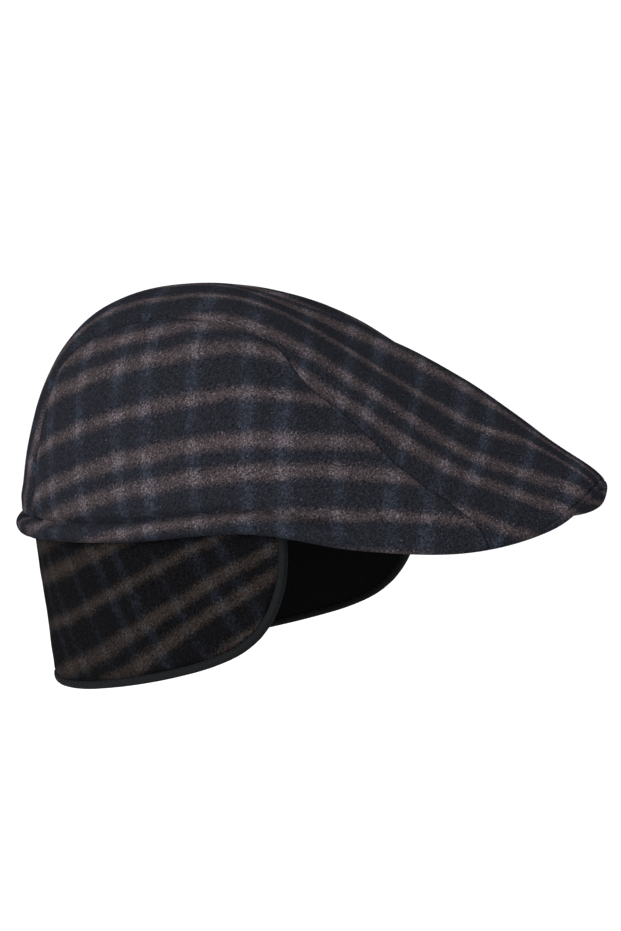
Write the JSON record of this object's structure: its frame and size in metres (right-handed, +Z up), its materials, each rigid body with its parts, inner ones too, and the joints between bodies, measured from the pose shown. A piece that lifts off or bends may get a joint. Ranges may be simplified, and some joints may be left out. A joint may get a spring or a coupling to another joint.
{
  "type": "earflap cap",
  "caption": "Duckbill cap in brushed plaid wool, with a curved peak, a folded hem and one bound, lined band that hangs over the ears and nape.",
  "frame": {"origin": "middle of the head opening, level with the hem over the ears, where a head fills the cap", "axes": "+Z up, -Y towards the tip of the peak, -X towards the wearer's right"},
  "size_m": [0.1802, 0.2555, 0.1699],
  "materials": {
    "plaid_wool": "brushed wool, dark navy with brown and slate checks",
    "flap_wool": "the same brushed wool cut on the slant",
    "black_lining": "matt black fleece",
    "black_tape": "matt black bias tape"
  },
  "bodies": {
    "root": {"centre_panel": "plaid_wool", "side_panel_right": "plaid_wool", "side_panel_left": "plaid_wool", "under_peak": "plaid_wool", "ear_flap": "flap_wool", "flap_lining": "black_lining", "flap_binding": "black_tape"}
  },
  "joints": []
}
